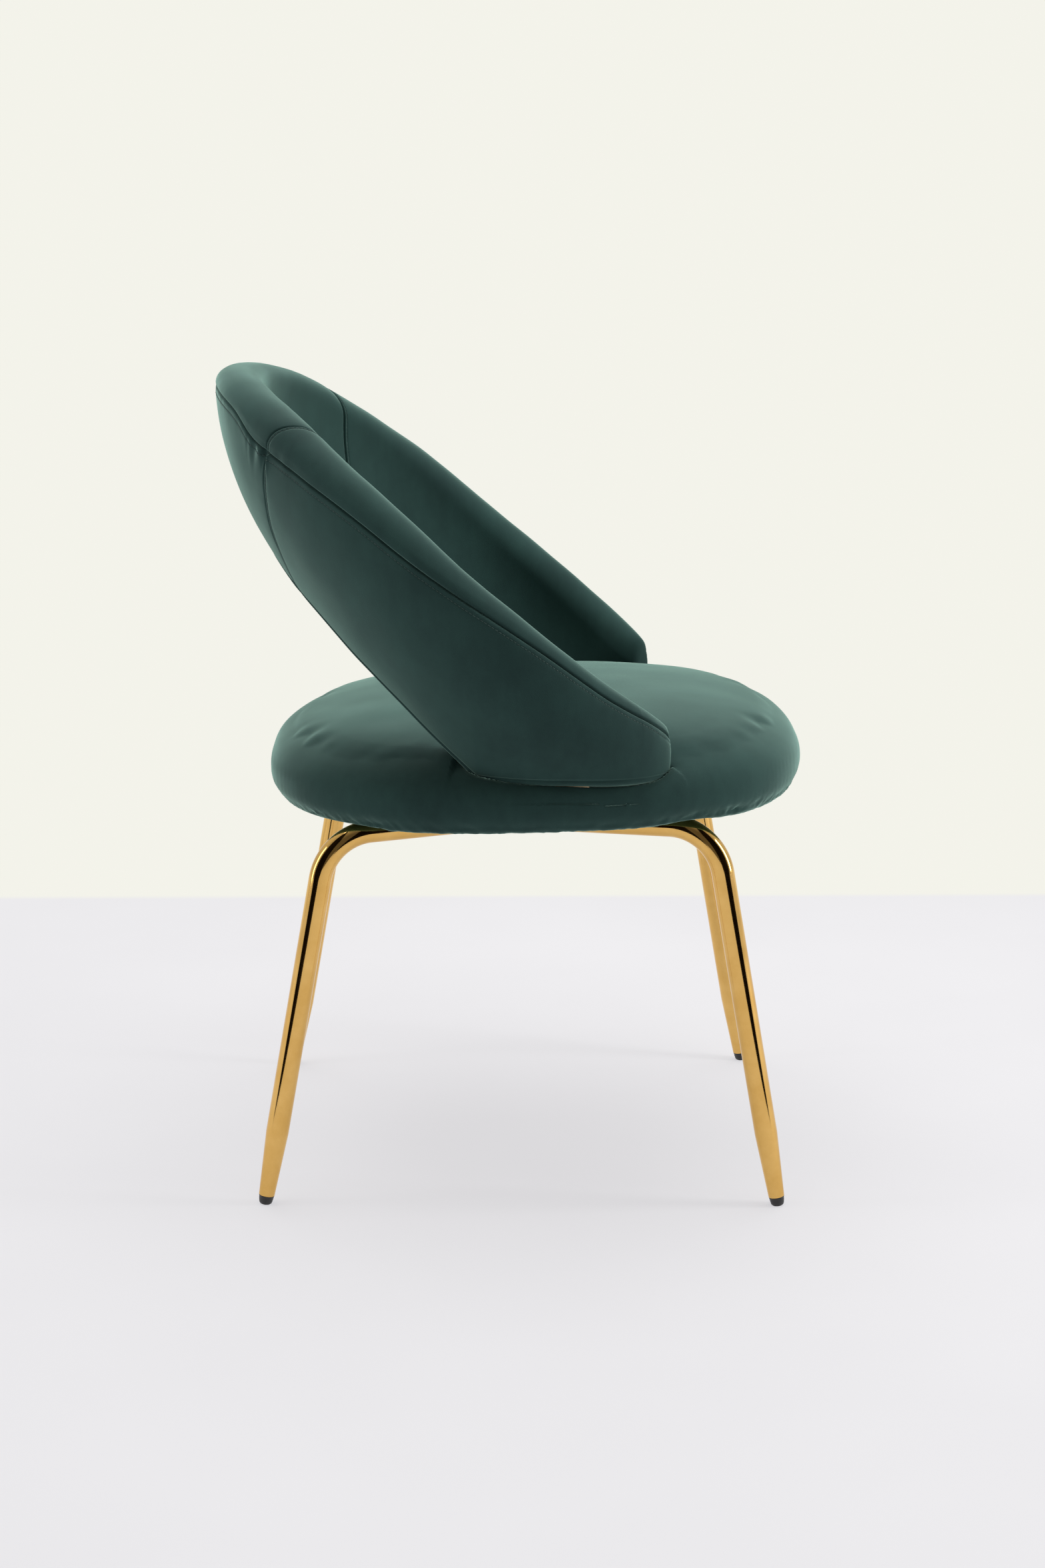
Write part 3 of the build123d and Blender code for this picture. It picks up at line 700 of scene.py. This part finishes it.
def on_base(co):
    """Nearest place on the cushion's clean shape, in the seat's own frame."""
    x, y, z = co.T
    rho = (abs(x / SEAT_W) ** POWER + abs(y / SEAT_D) ** POWER) ** (1 / POWER)
    rho = np.maximum(rho, 1e-6)
    up = np.maximum(z, 0) / CROWN
    norm = (rho ** POWER + up ** POWER) ** (1 / POWER)
    top_q, top_z = rho / norm, up / norm * CROWN
    band_w = EDGE / SEAT_W
    e = (rho - (1 - band_w)) / band_w
    down = np.maximum(-z, 0) / DROP
    n = np.maximum(np.sqrt(np.maximum(e, 0) ** 2 + down ** 2), 1e-6)
    # the lower side hangs most between the legs and at the front
    hang = 0.0022 + 0.0030 * (1 - ease(abs(y - 0.015), 0.115, 0.155)) + 0.0040 * ease(-y, 0.14, 0.20)
    low_q = np.where(e > 0, 1 - band_w + band_w * e / n, rho)
    deep = DROP + hang * ease(np.where(e > 0, e / n, e), -0.22, 0.22)
    low_z = np.where(e > 0, -deep * down / n, -deep)
    q, new_z = np.where(z >= 0, top_q, low_q), np.where(z >= 0, top_z, low_z)
    return np.stack([x * q / rho, y * q / rho, new_z], 1)


def band_gap(points):
    """For each point: distance to the band's side walls at that height, negative inside, the
    distance beyond the arm's front, and the height of the band's underside there."""
    ts = np.linspace(0.58, 1.0, 160)
    s = Slices(ts)
    x, y = abs(points[:, 0]), points[:, 1] - FEET_Y
    z = np.maximum(points[:, 2], SINK_Z + KEEL * 0.6)[:, None]
    q = np.clip((s.z[None, :] - z) / s.height[None, :], 0, 1 - KEEL * 0.6 / s.height)
    outer = s.face_u(q) + s.shift
    inner = outer - lerp(s.thick, s.low, q)
    dx, dy = x[:, None] - s.plan[:, 0], y[:, None] - s.plan[:, 1]
    u = dx * s.out[:, 0] + dy * s.out[:, 1]
    w = dx * s.forward[:, 0] + dy * s.forward[:, 1]
    k = np.argmin(abs(w) + np.maximum(0, abs(u) - 0.25), 1)
    pick = (np.arange(len(k)), k)
    side = np.maximum(u[pick] - outer[pick], inner[pick] - u[pick])
    front = np.where(k == len(ts) - 1, np.maximum(w[pick], 0), 0)
    side = np.where(s.z[k] - s.height[k] > SINK_Z + 0.020, 1.0, side)
    gap = np.where(front > 0, np.hypot(front, np.maximum(side, 0)), side)
    stop = 1 - KEEL / s.height
    outer = s.face_u(stop)
    inner = outer - lerp(s.thick, s.low, stop)
    tip = (s.face_u(1.0) * 2 - s.low + inner + outer) / 4
    from_tip = u[pick] - (tip + s.shift)[k]
    half = np.where(from_tip > 0, (outer - tip)[k], (tip - inner)[k])
    across = np.clip(abs(from_tip) / half, 0, 1)
    belly = (s.z - s.height)[k] + KEEL * (1 - np.sqrt(1 - across * across))
    return gap, front, belly - 0.0004


def relax(co, edges, steps):
    """Volume-keeping smoothing over the mesh's edges."""
    count = np.zeros(len(co))
    np.add.at(count, edges[:, 0], 1)
    np.add.at(count, edges[:, 1], 1)
    for step in range(steps):
        total = np.zeros_like(co)
        np.add.at(total, edges[:, 0], co[edges[:, 1]])
        np.add.at(total, edges[:, 1], co[edges[:, 0]])
        factor = 0.5 if step % 2 == 0 else -0.53
        share = total / count.reshape(-1, *[1] * (co.ndim - 1))
        co = co + factor * (share - co)
    return co


def mesh_edges(obj):
    edges = np.empty(len(obj.data.edges) * 2, int)
    obj.data.edges.foreach_get("vertices", edges)
    return edges.reshape(-1, 2)


def bake_modifiers(obj):
    graph = bpy.context.evaluated_depsgraph_get()
    mesh = bpy.data.meshes.new_from_object(obj.evaluated_get(graph))
    obj.modifiers.clear()
    obj.data = mesh


def build_seat():
    """Cushion: a clean crowned form, swelled as cloth, with gathers round its lower edge."""
    seat = seat_base("seat_cushion", 0.0020)
    mod = seat.modifiers.new("remesh", "REMESH")
    mod.mode, mod.voxel_size = "VOXEL", SEAT_VOXEL
    bake_modifiers(seat)
    start = coords(seat)
    edges = mesh_edges(seat)
    no = normals(seat)
    pinned = start[:, 2] < -0.0150
    solved = inflate(seat, pinned, 2.4, 0.006, stiffness=15.0)
    swell = ((solved - start) * no).sum(1)
    swell = relax(swell - np.median(swell[~pinned]), edges, 160)
    set_coords(seat, on_base(relax(start, edges, 16)))
    no = normals(seat)
    swell = np.where(pinned, 0, np.clip(swell, -SEAT_PUFF, SEAT_PUFF))
    set_coords(seat, coords(seat) + no * swell[:, None])
    subdivide(seat, 1)
    bake_modifiers(seat)
    co, no = coords(seat), normals(seat)
    angle = np.arctan2(co[:, 1], co[:, 0])
    low = np.exp(-((co[:, 2] + 0.021) / 0.008) ** 2)
    ring = np.stack([np.cos(angle) * 4.6, np.sin(angle) * 4.6, co[:, 2] * 12], 1)
    pleat = fractal(ring, 6.5, 3, 2.0)
    fold = -abs(fractal(ring, 3.4, 2, 8.0))
    corner = np.exp(-((abs(co[:, 0]) - 0.19) / 0.06) ** 2 - ((abs(co[:, 1]) - 0.17) / 0.07) ** 2)
    move = low * (0.0010 * pleat + 0.0020 * fold) * (0.45 + corner)
    move += 0.0010 * fractal(co, 10.0, 2, 4.0)
    move = np.where(co[:, 2] < -0.0205, 0, move) + np.where(co[:, 2] < -0.0225, 0.0006 * pleat, 0)
    co = co + no * move[:, None]
    turn = np.array(SEAT_PLACE)
    co = co @ turn[:3, :3].T + turn[:3, 3]
    # the back band sinks into the cushion: the velvet rolls down to it and passes under it
    near = np.nonzero((co[:, 2] > 0.412) & (abs(co[:, 0]) > 0.10))[0]
    gap, front, _ = band_gap(co[near])
    away = np.maximum(gap, 0)
    dip = 0.0016 * np.exp(-away / 0.0040) + 0.0024 * np.exp(-away / 0.016)
    dip += np.where(front > 0, 0.0030, 0) * np.exp(-away / 0.014)
    co[near, 2] -= dip
    gap, _, belly = band_gap(co[near])
    co[near, 2] = np.where(gap < 0, np.minimum(co[near, 2], belly), co[near, 2])
    set_coords(seat, co)
    seat.data.polygons.foreach_set("use_smooth", [True] * len(seat.data.polygons))
    finish_piece(seat, VELVET, ("seat_cover", "seat_foam"))


build_seat()


# ----------------------------------------------------------------------- legs
ARM_LEVEL = -0.0329         # middle of the arms, from the seat board's top
ARM_TURN = math.radians(17)
ARM_REACH = 0.172
BEND = 0.052                # radius of the tube's middle line at the knee
TUBE_R, TIP_R, WALL = 0.011, 0.00775, 0.0015
TUBE_LOW, TAPER_TOP = 0.0095, 0.0745    # up the leg from the floor


def seat_level(y, level):
    """Height of a level of the tilted seat above the floor, y in the feet's frame."""
    return SEAT_Z + level / math.cos(SEAT_TILT) - (y - SEAT_Y) * math.tan(SEAT_TILT)


def leg_line(side, end, foot_x, knee_x):
    """Centre points and radii of one leg, from the tube's lower end to the arm's inner end."""
    foot = Vector((side * foot_x, end * 0.250, 0))
    knee = Vector((side * knee_x, end * 0.184, seat_level(end * 0.184, ARM_LEVEL)))
    rise = (knee - foot).normalized()
    run = Vector((-side * math.sin(ARM_TURN), -end * math.cos(ARM_TURN), 0))
    arm = (run + Vector((0, 0, -run.y * math.tan(SEAT_TILT)))).normalized()
    half = rise.angle(arm) / 2
    cut = BEND * math.tan(half)
    inward = (arm - rise).normalized()
    centre = knee + inward * (BEND / math.cos(half))
    before, after = knee - rise * cut, knee + arm * cut
    taper = np.linspace(TUBE_LOW, TAPER_TOP, 14)
    shank = np.linspace(0.085, (before - foot).length, 26)
    line = [(foot + rise * d, lerp(TIP_R, TUBE_R, min(1, (d - TUBE_LOW) / 0.065)))
            for d in np.concatenate([taper, shank])]
    start, stop = before - centre, after - centre
    for f in np.linspace(0, 1, 34)[1:]:
        line.append((centre + start.slerp(stop, f).normalized() * BEND, TUBE_R))
    for d in np.linspace(cut + 0.006, ARM_REACH, 16):
        line.append((knee + arm * d, TUBE_R))
    move = Vector((0, FEET_Y, 0))
    return [(p + move, r) for p, r in line], foot + move, rise


def tube(name, line, sides=64):
    """Round tube along a line, open at both ends, with a short way of its bore at each."""
    points = [p for p, _ in line]
    verts, faces = [], []
    tangents = []
    for i in range(len(points)):
        a, b = points[max(0, i - 1)], points[min(len(points) - 1, i + 1)]
        tangents.append((b - a).normalized())
    axis = Vector((1, 0, 0))
    frames = []
    for t in tangents:
        axis = (axis - t * axis.dot(t)).normalized()
        frames.append((axis.copy(), t.cross(axis)))
    runs = [(p, a, b, r) for (p, r), (a, b) in zip(line, frames)]
    bores = [(p, a, b, r - WALL) for p, a, b, r in (runs[-1], runs[-6], runs[4], runs[0])]
    loop = runs + bores
    for p, a, b, r in loop:
        for k in range(sides):
            ang = 2 * math.pi * k / sides
            verts.append(p + a * (r * math.cos(ang)) + b * (r * math.sin(ang)))
    n = len(loop)
    for i in range(n):
        j = (i + 1) % n
        if i == len(runs) + 1:      # the two bores don't meet
            continue
        for k in range(sides):
            m = (k + 1) % sides
            faces.append((i * sides + k, i * sides + m, j * sides + m, j * sides + k))
    return make_object(name, verts, faces)


def mark_sharp_ends(obj, degrees=40):
    mod = obj.modifiers.new("edges", "EDGE_SPLIT")
    mod.split_angle = math.radians(degrees)


def foot_cap(name, foot, rise):
    """Turned plastic cap: plug in the tube, a thin lip under the tube, a rounded foot."""
    a = (Vector((1, 0, 0)) - rise * rise.x).normalized()
    b = rise.cross(a)
    profile = [(0.0, 0.0238), (0.0058, 0.0235), (0.0060, 0.0100), (0.00735, 0.0096), (0.0076, 0.0090),
               (0.0075, 0.0084), (0.0072, 0.0078), (0.00708, 0.0060), (0.00665, 0.0034), (0.0062, 0.0016),
               (0.0055, 0.0005), (0.0046, 0.0), (0.0, 0.0)]
    sides, verts, faces = 48, [], []
    for r, d in profile:
        for k in range(sides):
            ang = 2 * math.pi * k / sides
            p = foot + rise * d + a * (r * math.cos(ang)) + b * (r * math.sin(ang))
            verts.append((p.x, p.y, max(p.z, 0.0)))
    for i in range(len(profile) - 1):
        for k in range(sides):
            m = (k + 1) % sides
            faces.append((i * sides + k, (i + 1) * sides + k, (i + 1) * sides + m, i * sides + m))
    obj = make_object(name, verts, faces)
    mark_sharp_ends(obj, 50)
    return obj


LEGS = {
    "front_left": (1, -1, 0.215, 0.204),
    "front_right": (-1, -1, 0.215, 0.204),
    "rear_left": (1, 1, 0.206, 0.196),
    "rear_right": (-1, 1, 0.206, 0.196),
}
for leg_name, spec in LEGS.items():
    line, foot, rise = leg_line(*spec)
    leg = tube("tube_" + leg_name, line)
    mark_sharp_ends(leg)
    finish_piece(leg, GOLD, ("leg_" + leg_name,))
    cap = foot_cap("cap_" + leg_name, foot, rise)
    finish_piece(cap, PLASTIC, ("foot_cap_" + leg_name,))


# ------------------------------------------------- CAD nodes that stay as they are
KEEP = {
    "dust_cover": DUST, "seat_board": PLY, "back_shell": PLY,
    "leg_bolts": STEEL, "leg_washers": STEEL, "t_nuts": STEEL, "staples": STEEL,
    "back_bracket_left": STEEL, "back_bracket_right": STEEL, "bracket_screws": STEEL,
    "back_bolts": STEEL, "back_washers": STEEL,
}
for node_name, material in KEEP.items():
    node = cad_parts[node_name]
    if not node.material_slots:
        node.data.materials.append(material)
    for place in node.material_slots:
        place.material = material


# ------------------------------------------------------ floor, light and camera
CREAM = (0.90, 0.895, 0.825)     # what shows beyond the floor
FLOOR_WHITE = (0.80, 0.79, 0.82)
FLOOR_END = 0.874           # X at which the white floor gives way to the backdrop


def build_floor():
    """One large pale sheet: white near the chair, and the colour of the backdrop beyond."""
    verts = [(-6, -6, 0), (6, -6, 0), (6, 6, 0), (-6, 6, 0)]
    obj = make_object("floor", verts, [(0, 1, 2, 3)], smooth=False)
    n = Nodes("floor")
    at = n.place()
    tone = n.noise(at, 2.2, 3.0)
    n.link(n.ramp(tone, [(0.3, (0.235, 0.235, 0.238)), (0.7, (0.255, 0.255, 0.258))]),
           n.shader.inputs["Base Color"])
    n.shader.inputs["Roughness"].default_value = 0.8
    n.shader.inputs["Specular IOR Level"].default_value = 0.1
    n.shader.inputs["Emission Color"].default_value = (*FLOOR_WHITE, 1)
    n.shader.inputs["Emission Strength"].default_value = 0.71
    beyond = n.add("ShaderNodeEmission", in_Color=(*CREAM, 1), in_Strength=1.0)
    split = n.add("ShaderNodeSeparateXYZ")
    n.link(at, split.inputs["Vector"])
    edge = n.add("ShaderNodeMapRange", interpolation_type="SMOOTHSTEP")
    edge.inputs["From Min"].default_value = FLOOR_END - 0.012
    edge.inputs["From Max"].default_value = FLOOR_END + 0.012
    n.link(split.outputs["X"], edge.inputs["Value"])
    both = n.add("ShaderNodeMixShader")
    n.link(edge.outputs["Result"], both.inputs["Fac"])
    n.link(n.shader.outputs["BSDF"], both.inputs[1])
    n.link(beyond.outputs["Emission"], both.inputs[2])
    n.link(both.outputs["Shader"], n.tree.nodes["Material Output"].inputs["Surface"])
    obj.data.materials.append(n.material)


def build_flags():
    """Black studio flags beside the chair, seen only in the reflections of the gold tubes."""
    for side in (-1, 1):
        y = side * 0.66
        verts = [(-3.0, y, 0.01), (-0.42, y, 0.01), (-0.42, y, 2.2), (-3.0, y, 2.2)]
        flag_name = "flag_left" if side > 0 else "flag_right"
        flag = make_object(flag_name, verts, [(0, 1, 2, 3)], smooth=False)
        n = Nodes("flag")
        n.link(n.ramp(n.noise(n.place(), 3.0), [(0.4, (0.004, 0.003, 0.003)), (0.8, (0.02, 0.015, 0.012))]),
               n.shader.inputs["Base Color"])
        n.shader.inputs["Roughness"].default_value = 1.0
        n.shader.inputs["Specular IOR Level"].default_value = 0.0
        flag.data.materials.append(n.material)
        flag.visible_camera = flag.visible_diffuse = flag.visible_shadow = False
        flag.visible_transmission = flag.visible_volume_scatter = False


build_floor()
build_flags()


def area_light(name, place, target, size, power):
    data = bpy.data.lights.new(name, "AREA")
    data.shape, data.size, data.size_y = "RECTANGLE", size[0], size[1]
    data.energy = power
    obj = bpy.data.objects.new(name, data)
    obj.location = place
    obj.rotation_euler = (Vector(target) - Vector(place)).to_track_quat("-Z", "Y").to_euler()
    bpy.context.scene.collection.objects.link(obj)


area_light("overhead", (0.25, 0.0, 2.5), (0, 0, 0.4), (2.2, 2.2), 38)
area_light("side_left", (-0.3, 2.3, 1.0), (0, 0, 0.4), (0.5, 1.7), 10)
area_light("side_right", (-0.3, -2.3, 1.1), (0, 0, 0.5), (0.5, 1.7), 27)


def build_world():
    """Cream to the camera; as light, a room that is bright above and dim on the camera's side."""
    world = bpy.data.worlds.new("studio")
    world.use_nodes = True
    tree = world.node_tree
    seen = tree.nodes["Background"]
    seen.inputs["Color"].default_value = (*CREAM, 1)
    room = tree.nodes.new("ShaderNodeBackground")
    room.inputs["Strength"].default_value = 0.75
    coord = tree.nodes.new("ShaderNodeTexCoord")
    split = tree.nodes.new("ShaderNodeSeparateXYZ")
    tree.links.new(coord.outputs["Generated"], split.inputs["Vector"])
    ramp = tree.nodes.new("ShaderNodeValToRGB")
    dim, bright = ramp.color_ramp.elements
    dim.position, dim.color = 0.10, (0.16, 0.15, 0.14, 1)
    bright.position, bright.color = 0.60, (0.90, 0.89, 0.85, 1)
    span = tree.nodes.new("ShaderNodeMapRange")
    span.inputs["From Min"].default_value = -1.0
    tree.links.new(split.outputs["X"], span.inputs["Value"])
    tree.links.new(span.outputs["Result"], ramp.inputs["Fac"])
    tree.links.new(ramp.outputs["Color"], room.inputs["Color"])
    path = tree.nodes.new("ShaderNodeLightPath")
    mix = tree.nodes.new("ShaderNodeMixShader")
    tree.links.new(path.outputs["Is Camera Ray"], mix.inputs["Fac"])
    tree.links.new(room.outputs["Background"], mix.inputs[1])
    tree.links.new(seen.outputs["Background"], mix.inputs[2])
    tree.links.new(mix.outputs["Shader"], tree.nodes["World Output"].inputs["Surface"])
    bpy.context.scene.world = world


build_world()

SENSOR = 36.0
FOCAL, PICTURE_HIGH = 4400.0, 2352.0
camera_data = bpy.data.cameras.new("camera")
camera_data.lens = FOCAL * SENSOR / PICTURE_HIGH
camera_data.sensor_width = SENSOR
camera = bpy.data.objects.new("camera", camera_data)
camera.location = (-2.890, FEET_Y + 0.027, 1.083)
pitch, yaw = math.radians(13.86), math.radians(-0.60)
look = Vector((math.cos(pitch) * math.cos(yaw), math.cos(pitch) * math.sin(yaw), -math.sin(pitch)))
camera.rotation_euler = look.to_track_quat("-Z", "Y").to_euler()
bpy.context.scene.collection.objects.link(camera)
bpy.context.scene.camera = camera
bpy.context.scene.view_settings.view_transform = "Standard"
